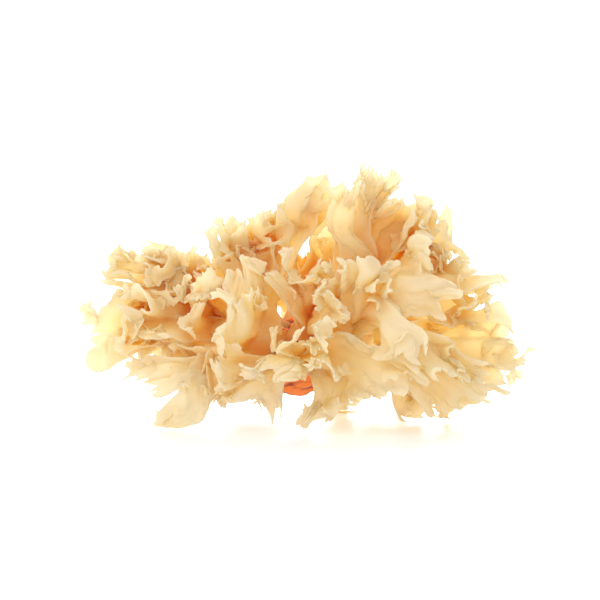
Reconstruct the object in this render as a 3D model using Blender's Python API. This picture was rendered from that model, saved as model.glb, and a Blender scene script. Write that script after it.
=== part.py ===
"""A dried snow fungus head: thin frilled fronds that fork from one tough base, resting on its frond tips.

Sizes here are in millimetres, and the meshes are in metres. +Z is up, +X to the right and -Y towards the
viewer. The origin is on the resting surface, under the middle of the head.
"""

from dataclasses import dataclass

import bmesh
import bpy
import numpy as np
from mathutils import Vector, noise

MM = 0.001

# Driving dimensions, in millimetres
SHEET = 1.2
GAP = 0.5
CORE = Vector((-2, -4, 17))
BASE_RADII = (12.0, 11.0, 10.0)
BASE_FACE = 8.0
CUT_FACE = Vector((0.25, -0.5, -0.83))
CUT_DEPTH = 7.5
STALK_FOOT = 4.6
STALK_TOP = 4.0
STALK_LEAST = 5.0
STALK_PAST = 2.0
STALK_INSET = 1.0
ROOT_DEPTH = 2.0
SPACE = 90.0
WELD = 0.005

# The base's lumps: their height as a share of its radii, and how many there are round it
LUMP_HEIGHT = 0.14
LUMP_RATE = 2.6

# How a frond's sheet opens from its root to its margin: the shares of its fan and cup that the root has
FAN_AT_ROOT = 0.15
CUP_AT_ROOT = 0.3

# The folds across a frond: how late they rise, how they wander along it, and how far they lean over
FOLD_RISE = 1.4
FOLD_WANDER = 0.9
FOLD_TURN = 2.2
FOLD_LEAN = 0.35

# The margin's roll: where it starts along the frond, its wavelength in mm, its phase for each unit of the
# folds' phase, and how far it draws the margin back
ROLL_START = 0.45
ROLL_WAVE = 11.8
ROLL_PHASE = 2.3
ROLL_BACK = 0.18

# The share of a frond that its solid reaches, and the share of faces that is kept
REACH = 0.97
KEPT = 0.8

# The width that a frond's mesh cells aim for, the fewest and most cells across it, and the cells along it,
# which get shorter towards the margin
CELL = 3.2
LEAST_ACROSS = 4
MOST_ACROSS = 7
ALONG = 3
CROWDING = 0.8

# The stalks' sides, the base's subdivisions, and the grid that finds the middle of a frond
STALK_SIDES = 8
BASE_SUBDIVISIONS = 3
MIDDLE_GRID = (9, 7)

# Edges sharper than this many degrees stay sharp
SHARP_EDGE = 60

# Dried fungus in cream, and the base in red-brown
CREAM = (0.86, 0.66, 0.38)
BROWN = (0.55, 0.17, 0.03)

# The point where each lobe forks into its fronds
FORKS = {
    "left_arm": (-23, -2, 25),
    "left_foot": (-20, -12, 19),
    "hood": (-9, -13, 23),
    "front_frills": (0, -18, 17),
    "front_foot": (-8, -16, 14),
    "front_right": (7, -17, 15),
    "centre": (2, -12, 27),
    "top_left": (-11, -2, 33),
    "top": (13, -3, 38),
    "upper_right": (19, -1, 36),
    "right_front": (13, -15, 25),
    "right_low": (21, -14, 17),
    "back_left": (-13, 8, 21),
    "back_right": (13, 10, 20),
    "back_top": (1, 9, 32),
}


@dataclass
class Frond:
    """One frond of a lobe, from the lobe's fork to its tip, with lengths in mm and angles in degrees."""

    name: str
    lobe: str
    tip: tuple
    width: float  # across the margin
    face: tuple  # the way its broad side looks
    bow: tuple = (0, 0, 0)  # how far its middle lies off the straight line from fork to tip
    fan: float = 60  # half angle that its margin spans
    cup: float = 25  # how far its sides bend towards the face
    waves: float = 2.0  # folds across it
    swing: float = 2.0  # height of the folds
    phase: float = 0.0  # where the folds start
    neck: float = 3  # half width at the fork
    flare: float = 0.8  # how late it widens
    curl: float = 3.0  # how far the margin rolls to and fro
    twist: float = 0  # turn from fork to tip


FRONDS = (
    Frond("arm_back", "left_arm", (-54, 1, 32), 29, (0.2, -1, 0.1), bow=(0, 0, -1), fan=80, waves=1.8,
          swing=2.5, phase=0.3),
    Frond("arm_top", "left_arm", (-50, 5, 46), 13, (0.4, -0.9, 0.4), bow=(3, 0, -1), fan=60, waves=1.6,
          swing=1.8, phase=2.0),
    Frond("arm_crest", "left_arm", (-30, 5, 41), 17, (0.1, -0.9, 0.5), fan=65, waves=1.8, swing=2.2,
          phase=5.0),
    Frond("arm_front", "left_arm", (-44, -11, 33), 19, (0, -0.7, 0.7), bow=(0, 0, 4), fan=60, cup=-50,
          waves=2.4, swing=1.2, phase=1.0, neck=4, curl=2),
    Frond("arm_under", "left_arm", (-47, -3, 22), 19, (0.1, -0.9, -0.4), fan=70, swing=2.2, phase=4.0),
    Frond("arm_inner", "left_arm", (-30, -13, 34), 13, (0.3, -0.8, 0.6), bow=(0, -2, 2), waves=1.6,
          swing=1.8, phase=0.7),
    Frond("arm_finger", "left_arm", (-39, 0, 42), 9, (-0.2, -0.9, 0.3), fan=50, waves=1.4, swing=1.5,
          phase=4.2),
    Frond("tongue", "left_foot", (-40, -17, 1), 13, (-0.25, -1, 0.35), bow=(1, -3, 3), fan=25, cup=-20,
          waves=0.8, swing=0.8, phase=0.5, neck=6, flare=0.6, curl=1, twist=15),
    Frond("tongue_back", "left_foot", (-37, -3, 13), 13, (0, -1, 0.1), bow=(0, 0, 2), waves=1.8,
          swing=1.6, phase=2.5, curl=2),
    Frond("frill_low", "left_foot", (-26, -11, 10), 10, (0.1, -1, -0.2), bow=(0, -2, 0), fan=70,
          waves=1.8, swing=1.5, phase=3.1, curl=2),
    Frond("tongue_side", "left_foot", (-47, -11, 8), 9, (-0.1, -1, 0.2), bow=(0, 0, 2), fan=50, cup=20,
          waves=1.2, swing=1.2, phase=1.5, curl=1.5),
    Frond("frill_mid", "left_foot", (-19, -18, 8), 10, (0.1, -1, -0.2), bow=(0, -3, 0), waves=1.6,
          swing=1.4, phase=1.1, curl=1.5),
    Frond("hood_back", "hood", (-14, -17, 43), 17, (0.05, -1, 0.1), bow=(-2, -6, -1), fan=32, cup=-25,
          waves=0.9, swing=1.0, phase=0.6, neck=5, curl=1.5),
    Frond("hood_front", "hood", (-19, -25, 33), 20, (-0.2, -0.9, 0.3), bow=(-1, -8, 1), fan=62, cup=-40,
          waves=1.0, swing=1.2, phase=1.9, neck=4, curl=1.8, twist=-20),
    Frond("frill_s", "front_frills", (6, -31, 26), 9, (0.2, -0.6, 0.7), bow=(1, 0, 0), cup=30, waves=1.6,
          swing=1.4, phase=0.9, curl=1.5),
    Frond("frill_fan", "front_frills", (7, -34, 17), 12, (0.15, -0.5, 0.85), bow=(0, 0, 3), fan=70,
          cup=-50, waves=1.4, swing=1.0, phase=2.2, curl=1.2),
    Frond("frill_leaf", "front_frills", (-11, -32, 15), 12, (0, -0.8, 0.6), bow=(2, -2, 3), fan=55,
          cup=-40, waves=1.2, swing=1.0, phase=4.4, curl=1.2, twist=25),
    Frond("frill_strip", "front_frills", (-5, -28, 25), 6, (0.3, -0.9, 0.1), bow=(-1, -4, -2), fan=40,
          cup=40, waves=1.0, swing=1.2, phase=5.0, curl=1.5),
    Frond("hood_low", "front_foot", (-21, -23, 18), 13, (-0.1, -1, -0.1), bow=(0, -3, 1), fan=50, cup=20,
          waves=0.8, swing=0.8, phase=3.9, curl=1.2),
    Frond("foot_main", "front_foot", (-8, -24, -2), 7, (0, -1, 0.1), bow=(0, -2, 2), fan=35, cup=40,
          waves=1.0, swing=0.6, phase=0.4, neck=4.5, flare=0.6, curl=0.8),
    Frond("foot_left", "front_foot", (-15, -21, 6), 9, (-0.3, -1, 0.1), bow=(0, -3, 2), fan=50, cup=-30,
          waves=1.1, swing=0.8, phase=2.4, curl=1),
    Frond("foot_right", "front_right", (7, -26, 3), 12, (0.1, -1, 0.1), bow=(2, -3, 1), fan=50, waves=1.3,
          swing=1.0, phase=1.2, curl=1),
    Frond("apron", "front_right", (22, -28, 8), 24, (0.1, -1, -0.2), bow=(3, -3, 8), fan=30, cup=25,
          waves=1.0, swing=1.0, phase=3.0, neck=5, flare=0.6, curl=1.2),
    Frond("hood_edge", "centre", (-7, -18, 42), 9, (0.85, -0.5, 0), bow=(0, -5, 0), fan=35, cup=15,
          waves=0.8, swing=1.0, phase=0.2, curl=1),
    Frond("centre_frill", "centre", (0, -17, 41), 11, (0.2, -1, 0.1), bow=(0, -3, 0), fan=55, cup=20,
          waves=1.8, swing=1.8, phase=2.1, curl=2),
    Frond("centre_sheet", "centre", (9, -27, 33), 14, (0.1, -0.9, 0.4), bow=(0, -4, 1), cup=-25,
          waves=1.6, swing=1.4, phase=4.3, curl=2),
    Frond("centre_inner", "centre", (5, -14, 37), 10, (-0.4, -0.9, 0.1), bow=(0, -2, 0), fan=45, cup=20,
          waves=1.4, swing=1.2, phase=0.6, curl=1.5),
    Frond("crest_left", "top_left", (-24, -4, 47), 15, (0.1, -1, 0.2), bow=(0, 0, 2), fan=70, waves=1.8,
          phase=1.2),
    Frond("crest_mid", "top_left", (-16, 0, 54), 14, (-0.2, -1, 0.1), waves=1.8, phase=3.2),
    Frond("crest_high", "top_left", (-8, 3, 59), 14, (-0.3, -1, 0.2), bow=(0, 0, 2), waves=1.6, swing=1.8,
          phase=5.2),
    Frond("crest_peak", "top_left", (4, 4, 63), 13, (-0.1, -1, 0.1), bow=(-3, 0, 0), fan=45, waves=1.8,
          swing=1.4, phase=0.4),
    Frond("tongue_top", "top", (11, -7, 62), 12, (0.1, -1, 0), bow=(1, -2, 0), fan=25, cup=-20, waves=0.8,
          swing=0.8, phase=0.2, neck=4, flare=0.6, curl=1.2, twist=20),
    Frond("peak", "top", (21, -1, 68), 9, (-0.1, -1, 0.1), fan=40, waves=1.0, swing=1.2, phase=1.7,
          curl=2),
    Frond("top_back", "top", (17, 8, 61), 16, (0, -1, 0.2), bow=(0, 2, 0), fan=65, waves=1.8, phase=2.7),
    Frond("top_right", "top", (29, 3, 59), 18, (-0.2, -1, 0.2), bow=(-2, 0, 2), fan=70, waves=1.8,
          phase=3.9),
    Frond("shoulder", "upper_right", (36, 2, 52), 18, (-0.3, -0.9, 0.4), bow=(-2, 0, 3), fan=75,
          waves=1.8, phase=0.9),
    Frond("ledge", "upper_right", (34, -12, 47), 19, (-0.4, -0.4, 0.8), bow=(0, 0, 2), cup=-15, waves=1.1,
          swing=1.0, phase=2.2, curl=1.5, twist=-20),
    Frond("shoulder_low", "upper_right", (42, 3, 43), 19, (-0.2, -0.9, 0.4), bow=(0, 0, 2), fan=75,
          swing=2.2, phase=4.9),
    Frond("side_frill", "upper_right", (48, -8, 31), 18, (-0.1, -0.8, 0.6), bow=(0, -2, 3), fan=70,
          phase=3.6),
    Frond("roll", "right_front", (39, -15, 37), 18, (0, -0.7, 0.7), bow=(-1, -5, 9), fan=50, cup=-75,
          waves=0.8, swing=0.8, phase=0.4, neck=5, curl=1.5),
    Frond("frill_row", "right_front", (17, -19, 45), 16, (0, -1, 0.2), bow=(0, -4, 0), cup=20, swing=1.6,
          phase=1.4),
    Frond("drape", "right_front", (27, -31, 17), 10, (-0.3, -1, 0.1), bow=(7, -7, 16), fan=30, cup=-30,
          waves=1.2, swing=1.0, phase=2.4, curl=1.2),
    Frond("sweep", "right_low", (44, -20, 8), 20, (0.1, -1, -0.1), bow=(-1, -4, 6), fan=35, cup=20,
          waves=1.2, swing=1.2, phase=0.8, neck=6, curl=1.5),
    Frond("fan_right", "right_low", (56, -8, 18), 26, (0.1, -0.9, 0.4), bow=(0, -2, 1), fan=75, waves=2.6,
          phase=2.0),
    Frond("foot_back", "right_low", (33, 0, -3), 9, (0.1, -1, 0.1), bow=(2, 0, 2), fan=50, waves=1.6,
          swing=1.2, phase=4.1, curl=1),
    Frond("crumple", "right_low", (38, -28, 17), 13, (0, -0.6, 0.8), bow=(0, -2, 3), fan=50, cup=-40,
          waves=1.5, swing=1.4, phase=5.1, curl=1.8, twist=20),
    Frond("fan_under", "right_low", (51, 0, 10), 17, (0.1, -0.9, -0.2), fan=70, swing=1.6, phase=0.9),
    Frond("rear_left", "back_left", (-35, 20, 30), 28, (0.5, -0.6, 0.3), bow=(0, 2, 0), fan=75, swing=2.4,
          phase=0.6),
    Frond("rear_left_low", "back_left", (-26, 23, 13), 20, (0.3, -0.7, -0.4), bow=(0, 2, 0), fan=70,
          swing=2.2, phase=2.6),
    Frond("rear_left_high", "back_left", (-21, 18, 42), 22, (0.3, -0.8, 0.4), bow=(0, 2, 0), fan=70,
          swing=2.2, phase=4.6),
    Frond("rear_mid", "back_left", (-13, 32, 26), 24, (0.3, -0.7, 0.5), bow=(0, 2, 1), fan=75, swing=2.4,
          phase=3.9),
    Frond("rear_mid_low", "back_left", (-9, 27, 9), 18, (0.1, -0.8, -0.3), bow=(0, 3, 1), fan=65,
          phase=1.4),
    Frond("rear", "back_right", (7, 34, 30), 28, (0.1, -0.5, 0.8), bow=(0, 2, 2), fan=75, swing=2.4,
          phase=1.6),
    Frond("rear_foot", "back_right", (7, 26, -3), 14, (0, -1, -0.3), bow=(0, 4, 2), waves=1.8, swing=1.8,
          phase=3.6),
    Frond("rear_right", "back_right", (37, 22, 31), 26, (-0.5, -0.6, 0.5), bow=(0, 2, 2), fan=75,
          swing=2.4, phase=5.6),
    Frond("rear_right_low", "back_right", (37, 21, 14), 20, (-0.3, -0.8, -0.3), bow=(0, 2, 0), fan=70,
          swing=2.2, phase=0.1),
    Frond("rear_high", "back_top", (17, 20, 50), 24, (0, -0.7, 0.7), bow=(0, 4, 0), fan=70, swing=2.4,
          phase=1.1),
    Frond("rear_high_left", "back_top", (-10, 24, 44), 20, (0.1, -0.6, 0.8), bow=(0, 4, 0), fan=70,
          swing=2.2, phase=3.1),
)


def unit(rows):
    """The vectors in rows, each one unit long."""
    return rows / np.linalg.norm(rows, axis=-1, keepdims=True)


def root_of(frond):
    """Where a frond starts, a little behind its lobe's fork."""
    fork = np.array(FORKS[frond.lobe], float)
    return fork - unit(np.array(frond.tip) - fork) * ROOT_DEPTH


def sheet_points(frond, across, along):
    """Points of a frond's middle surface, for places across it from -1 to 1 and along it from 0 to 1."""
    root, tip = root_of(frond), np.array(frond.tip, float)
    middle = (root + tip) / 2 + np.array(frond.bow)
    t, u = along[:, None], across[None, :]

    spine = (1 - t) ** 2 * root + 2 * t * (1 - t) * middle + t**2 * tip
    ahead = unit((1 - t) * (middle - root) + t * (tip - middle))
    face = np.array(frond.face, float)
    out = unit(face - (ahead @ face)[:, None] * ahead)
    side = np.cross(ahead, out)
    turn = np.radians(frond.twist) * (t - 0.5)
    side, out = side * np.cos(turn) + out * np.sin(turn), out * np.cos(turn) - side * np.sin(turn)

    half = frond.neck + (frond.width / 2 - frond.neck) * np.sin(np.pi / 2 * t) ** frond.flare
    spread = np.radians(frond.fan) * (FAN_AT_ROOT + (1 - FAN_AT_ROOT) * t)
    lateral = half * np.sin(u * spread) / np.sin(spread)
    back = half * (1 - np.cos(u * spread)) / np.sin(spread)
    bend = half / (np.radians(frond.cup) * (CUP_AT_ROOT + (1 - CUP_AT_ROOT) * t))
    shift, lift = bend * np.sin(lateral / bend), bend * (1 - np.cos(lateral / bend))

    fold = np.pi * frond.waves * u + frond.phase + FOLD_WANDER * np.sin(FOLD_TURN * t + frond.phase)
    height = frond.swing * t**FOLD_RISE
    late = np.clip(t - ROLL_START, 0, None) / (1 - ROLL_START)
    roll = np.sin(np.pi * u * frond.width / ROLL_WAVE + ROLL_PHASE * frond.phase) * frond.curl * late**2
    lift = lift + height * np.sin(fold) + roll
    shift = shift - FOLD_LEAN * height * np.sin(2 * fold)
    back = back + ROLL_BACK * np.abs(roll)
    return (spine[:, None] + shift[..., None] * side[:, None] + lift[..., None] * out[:, None]
            - back[..., None] * ahead[:, None])


def new_object(name, build):
    """An object whose mesh is what build does to an empty bmesh."""
    shape = bmesh.new()
    build(shape)
    mesh = bpy.data.meshes.new(name)
    shape.to_mesh(mesh)
    shape.free()
    thing = bpy.data.objects.new(name, mesh)
    bpy.context.scene.collection.objects.link(thing)
    return thing


def helper(thing):
    """Marks an object that only shapes others."""
    thing.hide_render = True
    thing.display_type = "WIRE"
    return thing


def frond_solid(frond):
    """A frond as a curved grid, thickened to a closed sheet."""
    cells = int(np.clip(round(frond.width / CELL), LEAST_ACROSS, MOST_ACROSS))
    along = REACH * np.linspace(0, 1, ALONG + 1) ** CROWDING
    points = sheet_points(frond, np.linspace(-1, 1, cells + 1), along)

    def build(shape):
        rows = [[shape.verts.new(p * MM) for p in row] for row in points]
        for low, high in zip(rows, rows[1:]):
            for i in range(cells):
                shape.faces.new((low[i], low[i + 1], high[i + 1], high[i]))

    sheet = helper(new_object(frond.name, build))
    wall = sheet.modifiers.new("Wall", "SOLIDIFY")
    wall.thickness = SHEET * MM
    wall.offset = 0
    return sheet


def lobe_aims():
    """The unit way from the core to each lobe, halfway between its fork and the middle of its fronds."""
    across, along = MIDDLE_GRID
    grid = np.linspace(-1, 1, across), np.linspace(0, 1, along)
    aims = {}
    for lobe, fork in FORKS.items():
        middles = [sheet_points(f, *grid).mean(axis=(0, 1)) for f in FRONDS if f.lobe == lobe]
        halfway = (Vector(np.mean(middles, axis=0)) + Vector(fork)) / 2
        aims[lobe] = (halfway - CORE).normalized()
    return aims


def cell(name, planes):
    """The part of space that lies behind every plane, each given as a point in mm and its way out."""

    def build(shape):
        bmesh.ops.create_cube(shape, size=2 * SPACE * MM)
        for point, way in planes:
            geometry = shape.verts[:] + shape.edges[:] + shape.faces[:]
            cut = bmesh.ops.bisect_plane(shape, geom=geometry, plane_co=point * MM, plane_no=way,
                                         clear_outer=True)
            rim = [g for g in cut["geom_cut"] if isinstance(g, bmesh.types.BMEdge)]
            bmesh.ops.holes_fill(shape, edges=rim)
        bmesh.ops.recalc_face_normals(shape, faces=shape.faces)

    return helper(new_object(name, build))


def lobe_cell(lobe, aims):
    """The cone of space round a lobe, clear of its neighbours, of the base and of the resting surface."""
    aim = aims[lobe]
    planes = [(Vector((0, 0, 0)), Vector((0, 0, -1))), (CORE + aim * (BASE_FACE + GAP / 2), -aim)]
    for other, its_aim in aims.items():
        if other != lobe:
            way = (its_aim - aim).normalized()
            planes.append((CORE - way * GAP / 2, way))
    return cell(lobe + "_cell", planes)


def stalk(lobe, aim):
    """The tapered stalk from the base to just past a lobe's fork."""
    start = CORE + aim * (BASE_FACE - STALK_INSET)
    line = Vector(FORKS[lobe]) - start
    if line.dot(aim) < STALK_LEAST:
        line = aim * STALK_LEAST
    line = line * (1 + STALK_PAST / line.length)

    def build(shape):
        cone = bmesh.ops.create_cone(shape, cap_ends=True, segments=STALK_SIDES, radius1=STALK_FOOT * MM,
                                     radius2=STALK_TOP * MM, depth=line.length * MM)
        bmesh.ops.rotate(shape, verts=cone["verts"], matrix=line.to_track_quat("Z", "Y").to_matrix())
        bmesh.ops.translate(shape, verts=cone["verts"], vec=(start + line / 2) * MM)

    return new_object(lobe, build)


def cut_with(thing, operation, other):
    """Adds a Boolean with another object, or with all that a collection holds."""
    step = thing.modifiers.new(operation.title(), "BOOLEAN")
    step.operation = operation
    step.solver = "EXACT"
    step.use_self = True
    if isinstance(other, bpy.types.Collection):
        step.operand_type = "COLLECTION"
        step.collection = other
    else:
        step.object = other


def pieces_of(shape):
    """The faces of a bmesh in connected groups, which go on across edges of exactly two faces."""
    unseen = set(shape.faces)
    groups = []
    while unseen:
        front = [unseen.pop()]
        group = set(front)
        while front:
            face = front.pop()
            near = {f for e in face.edges if len(e.link_faces) == 2 for f in e.link_faces} & unseen
            unseen -= near
            group |= near
            front.extend(near)
        groups.append(group)
    return groups


def make_whole(thing):
    """Applies the modifiers and keeps the largest piece, without slivers and what the cell cut off."""
    graph = bpy.context.evaluated_depsgraph_get()
    mesh = bpy.data.meshes.new_from_object(thing.evaluated_get(graph))
    thing.modifiers.clear()
    thing.data = mesh
    shape = bmesh.new()
    shape.from_mesh(mesh)
    bmesh.ops.remove_doubles(shape, verts=shape.verts, dist=WELD * MM)
    bmesh.ops.dissolve_degenerate(shape, edges=shape.edges, dist=WELD * MM)
    bmesh.ops.holes_fill(shape, edges=[e for e in shape.edges if e.is_boundary])
    bmesh.ops.triangulate(shape, faces=shape.faces)
    largest = max(pieces_of(shape), key=len)
    bmesh.ops.delete(shape, geom=[f for f in shape.faces if f not in largest], context="FACES")
    shape.to_mesh(mesh)
    shape.free()


def base(aims):
    """The tough base: a lumpy nugget, cut flat where it left its wood, with a flat face towards each lobe."""

    def build(shape):
        ball = bmesh.ops.create_icosphere(shape, subdivisions=BASE_SUBDIVISIONS, radius=1)
        for vert in ball["verts"]:
            way = vert.co.copy()
            lump = 1 + LUMP_HEIGHT * noise.noise(way * LUMP_RATE)
            vert.co = CORE * MM + Vector([w * r * lump * MM for w, r in zip(way, BASE_RADII)])

    planes = [(CORE + aim * (BASE_FACE - GAP / 2), aim) for aim in aims.values()]
    planes.append((CORE + CUT_FACE.normalized() * CUT_DEPTH, CUT_FACE.normalized()))
    nugget = new_object("base", build)
    cut_with(nugget, "INTERSECT", cell("base_cell", planes))
    make_whole(nugget)
    return nugget


def lobe_solid(lobe, aims):
    """A lobe: its stalk and fronds grown together, trimmed to its own part of space."""
    thing = stalk(lobe, aims[lobe])
    fronds = bpy.data.collections.new(lobe + "_fronds")
    bpy.context.scene.collection.children.link(fronds)
    for frond in FRONDS:
        if frond.lobe == lobe:
            sheet = frond_solid(frond)
            bpy.context.scene.collection.objects.unlink(sheet)
            fronds.objects.link(sheet)
    cut_with(thing, "UNION", fronds)
    cut_with(thing, "INTERSECT", lobe_cell(lobe, aims))
    fewer = thing.modifiers.new("Fewer faces", "DECIMATE")
    fewer.ratio = KEPT
    make_whole(thing)
    return thing


def finish_with(thing, color, roughness):
    """Shades an object smooth between its sharp edges and gives it a plain finish of its own."""
    thing.data.shade_smooth()
    thing.data.set_sharp_from_angle(angle=np.radians(SHARP_EDGE))
    finish = bpy.data.materials.new(thing.name)
    finish.use_nodes = True
    surface = finish.node_tree.nodes["Principled BSDF"]
    surface.inputs["Base Color"].default_value = (*color, 1)
    surface.inputs["Roughness"].default_value = roughness
    surface.inputs["Metallic"].default_value = 0
    thing.data.materials.clear()
    thing.data.materials.append(finish)


def main():
    for thing in list(bpy.data.objects):
        bpy.data.objects.remove(thing)
    aims = lobe_aims()
    finish_with(base(aims), BROWN, 0.45)
    for lobe in FORKS:
        finish_with(lobe_solid(lobe, aims), CREAM, 0.5)
    for thing in [o for o in bpy.data.objects if o.hide_render]:
        bpy.data.objects.remove(thing)


main()
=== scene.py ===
"""A dried snow fungus head, dressed over its frame.

The lobes' fronds start as the frame's own plain sheets. Their margins are then grown, so that they buckle
into ruffles as the real ones do. Small frills sprout from their faces, their outlines are cut into lobes,
teeth and tears, and the whole head is crumpled a little. Lengths are in millimetres until a mesh is made.
"""

import math
from dataclasses import dataclass

import bmesh
import bpy
import numpy as np
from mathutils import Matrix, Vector, noise


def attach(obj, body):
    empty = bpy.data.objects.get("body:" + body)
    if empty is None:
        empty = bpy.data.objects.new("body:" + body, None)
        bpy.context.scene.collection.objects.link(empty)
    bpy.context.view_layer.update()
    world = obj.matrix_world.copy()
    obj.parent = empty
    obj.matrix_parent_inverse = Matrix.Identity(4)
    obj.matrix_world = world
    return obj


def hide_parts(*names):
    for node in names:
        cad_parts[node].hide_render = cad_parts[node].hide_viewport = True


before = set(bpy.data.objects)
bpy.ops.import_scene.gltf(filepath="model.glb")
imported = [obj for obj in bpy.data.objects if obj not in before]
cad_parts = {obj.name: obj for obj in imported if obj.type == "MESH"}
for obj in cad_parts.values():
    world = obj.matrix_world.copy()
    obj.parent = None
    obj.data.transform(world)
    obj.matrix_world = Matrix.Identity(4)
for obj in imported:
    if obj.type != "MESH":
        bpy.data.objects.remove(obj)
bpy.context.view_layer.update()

MM = 0.001
HEAD_SEED = 7

# The frame's own sizes
CORE = np.array((-2.0, -4.0, 17.0))
BASE_RADII = np.array((12.0, 11.0, 10.0))
BASE_FACE = 8.0
CUT_FACE = np.array((0.25, -0.5, -0.83))
CUT_DEPTH = 7.5
ROOT_DEPTH = 2.0
FAN_AT_ROOT = 0.15
CUP_AT_ROOT = 0.3
FOLD_RISE = 1.4
FOLD_WANDER = 0.9
FOLD_TURN = 2.2
FOLD_LEAN = 0.35
ROLL_START = 0.45
ROLL_WAVE = 11.8
ROLL_PHASE = 2.3
ROLL_BACK = 0.18

# The base's large lumps: how high, as a share of its radius, and how closely set
LUMP_HEIGHT = 0.14
LUMP_RATE = 2.6

# How much of what reaches past the base's cut is pressed flat
CUT_FLATNESS = 0.93

# A lobe's stalk: its radii at its ends, how deep in the base it starts, how far past the fork it ends, the
# share of its length that closes its end, how deep its flutes are, and its mesh's sides and rings
STALK_RADII = (4.6, 2.6)
STALK_DEPTH = 4
STALK_PAST_FORK = 1.5
STALK_CAP = 0.1
STALK_FLUTES = 0.16
STALK_SIDES = 40
STALK_RINGS = 16

# The small knobs that cover the base: how many, how wide in radians, and how high in millimetres
KNOBS = 260
KNOB_ANGLES = (0.09, 0.22)
KNOB_HEIGHT = 1.3
KNOB_SEED = 5

# The sheet's thickness at its root, at its margin and where its mesh is crowded, and the bead at its margin:
# how thick, and where it lies and how wide it is as shares of the frond
ROOT_SHEET = 0.9
RIM_SHEET = 0.34
LEAST_SHEET = 0.16
BEAD = 0.24
BEAD_PLACE = 0.975
BEAD_WIDTH = 0.015

# The relaxing grid's rows along a frond and columns across it, and its steps
FROND_GRID = ((28, 84))
FROND_STEPS = 100
FRILL_GRID = ((14, 44))
FRILL_STEPS = 70

# How much the grid's rows crowd towards the margin
MARGIN_CROWDING = 1.6

# How much longer the sheet grows across its whole width, across its margin and along it
SHEET_GROWTH = 0.45
MARGIN_GROWTH = 0.75
LENGTH_GROWTH = 0.15

# The share of the relaxing steps in which the margin grows, how firmly the sheet keeps its diagonals, how
# stiff it is against folds, how near its points may come, and how firmly its root and margin stay in place
GROWING_SHARE = 0.6
DIAGONAL_STRENGTH = 0.4
STIFFNESS = 0.3
SLACK_ACROSS = 0.98
SLACK_ALONG = 0.99
ROOT_HOLD = 0.04
MARGIN_HOLD = 0.002

# The finished mesh's columns for each millimetre of a frond's and a frill's margin
FINENESS = 8.0
FRILL_FINENESS = 5.0

# The cuts in a margin and in a flank: their length and depth
LOBES = (4.6, 2.3)
TEETH = (2.4, 0.9)
FINE_TEETH = (1.1, 0.4)
FLANK_LOBES = (6, 0.9)
FLANK_TEETH = (3.5, 0.5)

# The tears in a margin: how far apart, how deep as a share of the frond, and how wide
TEAR_SPACING = 5
TEAR_DEPTHS = (0.02, 0.22)
TEAR_WIDTHS = (0.5, 1.1)

# The wrinkles in a sheet: their length, their height and how much they wander
WRINKLES = ((1.8, 0.08, 0.25), (4.5, 0.2, 0.4), (9, 0.3, 0.6))

# The small frills that sprout from the fronds: the ending of their names, how far apart they are across a
# frond, their lengths and widths, and their tilt in degrees
FRILL_NAME = "_frill"
FRILL_SPACING = 2.6
FRILL_LENGTHS = (3.5, 8)
FRILL_WIDTHS = (4, 10)
FRILL_TILTS = (15, 65)

# The share of a frond that is rim, and the angle in degrees from which an edge is shaded sharp
RIM_WIDTH = 0.1
SHARP_ANGLE = 110

# The waves that crumple the head in drying: their length, and how steep they are together
CRUMPLES = ((24.0, 0.55), (11.0, 0.5), (5.5, 0.26), (2.6, 0.08))
CRUMPLE_WAVES = 8
CRUMPLE_SEED = 3

# The cells in which the head's openness is worked out, how many ways and how many cells far it looks, and how
# soon a crowd of sheets shuts light out
CELL = 2.0
OPEN_WAYS = 48
OPEN_REACH = 34
SHUT_RATE = 0.35

# Heights below the first are squeezed together above the second, so that nothing goes through the floor
LOW_HEIGHT = 2.0
LEAST_HEIGHT = 0.1

# Colours by how open a place is, and at the rim: of a sheet's face, and of the light that comes through it.
# The deep orange where sheets crowd round a place is painted shade, and the pale rim is a painted highlight
FACE_COLORS_AND_SHADE = ((0.04, (0.92, 0.43, 0.04)), (0.11, (0.97, 0.77, 0.33)), (0.21, (0.98, 0.88, 0.60)),
               (0.42, (0.97, 0.89, 0.71)))
LIGHT_COLORS_AND_SHADE = ((0.04, (0.99, 0.48, 0.02)), (0.11, (0.99, 0.82, 0.32)), (0.21, (0.99, 0.91, 0.58)),
                (0.42, (0.99, 0.94, 0.75)))
RIM_FACE_HIGHLIGHT = (0.97, 0.92, 0.78)
RIM_LIGHT_HIGHLIGHT = (0.98, 0.93, 0.76)

# The share of light that goes through a sheet
SHEET_LIGHT = 0.6

# The base's colours, in its creases and on its knobs
CREASE_COLOR = (0.30, 0.02, 0.002)
KNOB_COLOR = (0.92, 0.24, 0.01)

# The lights: their strengths, and in metres the places of the key and the sun and the spot that both face
WORLD_STRENGTH = 0.85
BACKDROP_STRENGTH = 1.1
FLOOR_STRENGTH = 0.32
KEY_STRENGTH = 0.65
KEY_SIZE = 0.20
KEY_PLACE = (-0.35, -0.20, 0.35)
SUN_STRENGTH = 2.8
SUN_ANGLE = 50
SUN_PLACE = (0.05, 0.45, 0.34)
LIT_SPOT = (0, 0, 0.03)

# The camera, in metres and degrees: its distance, how steeply it looks down, how wide it sees, and its target
CAMERA_DISTANCE = 0.62
CAMERA_RISE = 4.0
VIEW_WIDTH = 0.1542
CAMERA_TARGET = (-0.0005, -0.008, 0.0325)

# The point where each lobe forks into its fronds
FORKS = {
    "left_arm": (-23, -2, 25),
    "left_foot": (-20, -12, 19),
    "hood": (-9, -13, 23),
    "front_frills": (0, -18, 17),
    "front_foot": (-8, -16, 14),
    "front_right": (7, -17, 15),
    "centre": (2, -12, 27),
    "top_left": (-11, -2, 33),
    "top": (13, -3, 38),
    "upper_right": (19, -1, 36),
    "right_front": (13, -15, 25),
    "right_low": (21, -14, 17),
    "back_left": (-13, 8, 21),
    "back_right": (13, 10, 20),
    "back_top": (1, 9, 32),
}


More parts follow.
